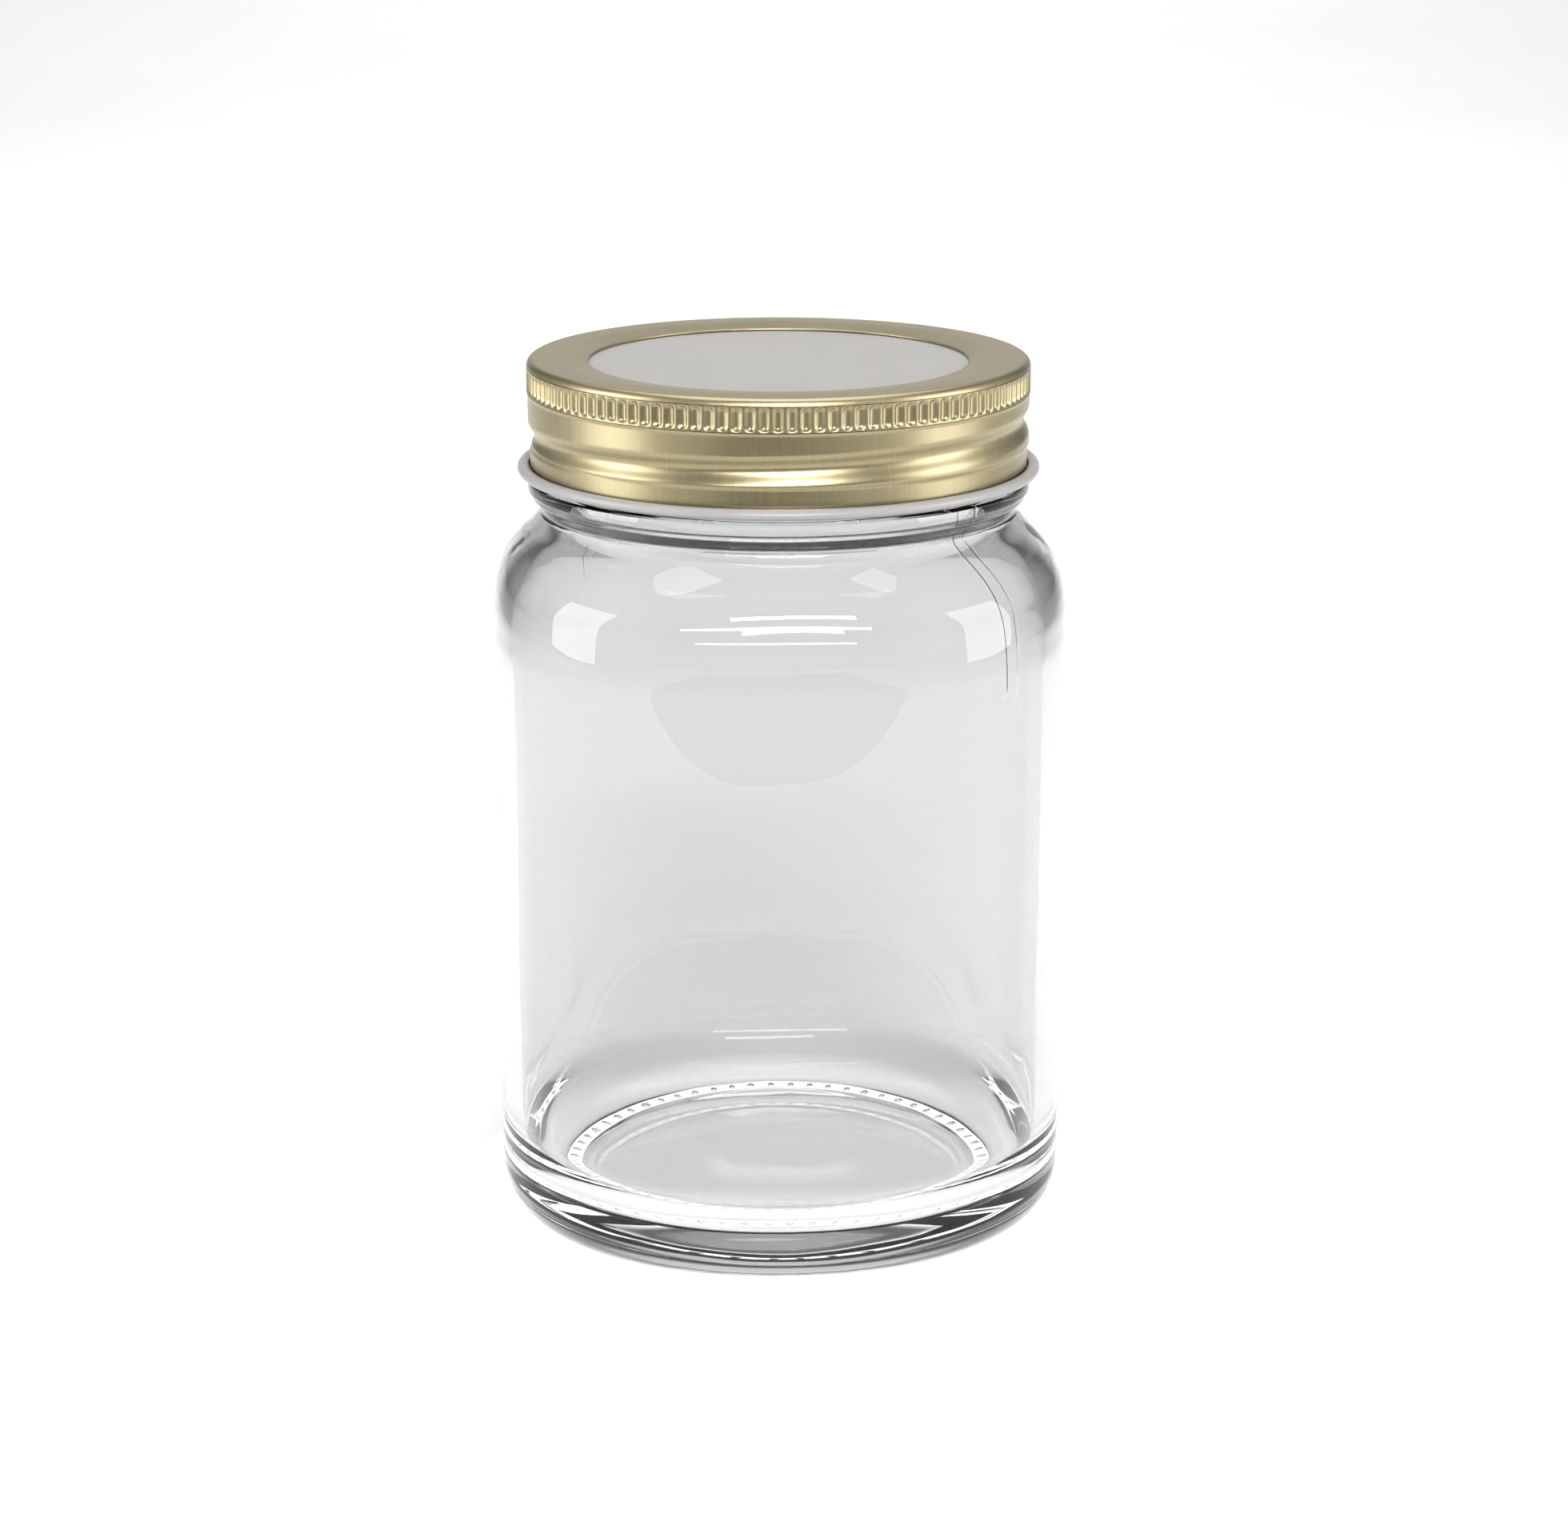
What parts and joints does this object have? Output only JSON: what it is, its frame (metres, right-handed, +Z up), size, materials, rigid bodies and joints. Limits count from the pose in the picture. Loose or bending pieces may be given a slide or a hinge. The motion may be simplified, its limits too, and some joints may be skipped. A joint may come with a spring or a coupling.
{
  "type": "mason jar",
  "caption": "Glass canning jar with a squared body and round neck, closed by a gold screw band over a pale lid disc with a sealing ring.",
  "frame": {"origin": "centre of the ring the jar stands on", "axes": "+Z up along the jar and the thread, -Y towards the front"},
  "size_m": [0.0844, 0.0844, 0.128],
  "materials": {
    "glass": "clear, very slightly grey-green flint glass",
    "disc_enamel": "pale warm grey enamel on tinplate, satin",
    "seal_compound": "soft sealing compound",
    "band_gold": "satin gold lacquer on tinplate, white enamel inside"
  },
  "bodies": {
    "jar": {"glass_jar": "glass"},
    "lid": {"lid_disc": "disc_enamel", "sealing_ring": "seal_compound"},
    "band": {"screw_band": "band_gold"}
  },
  "joints": [
    {"name": "lid_rise", "type": "slide", "parent": "jar", "child": "lid", "axis": [0, 0, 1], "range_m": [0, 0.02032]},
    {"name": "band_turn", "type": "hinge", "parent": "lid", "child": "band", "pos_m": [0, 0, 0.12], "axis": [0, 0, 1], "range_deg": [0, 1440]}
  ],
  "couplings": [
    {"joint": "lid_rise", "follows": "band_turn", "m_per_rad": 0.00080851}
  ]
}
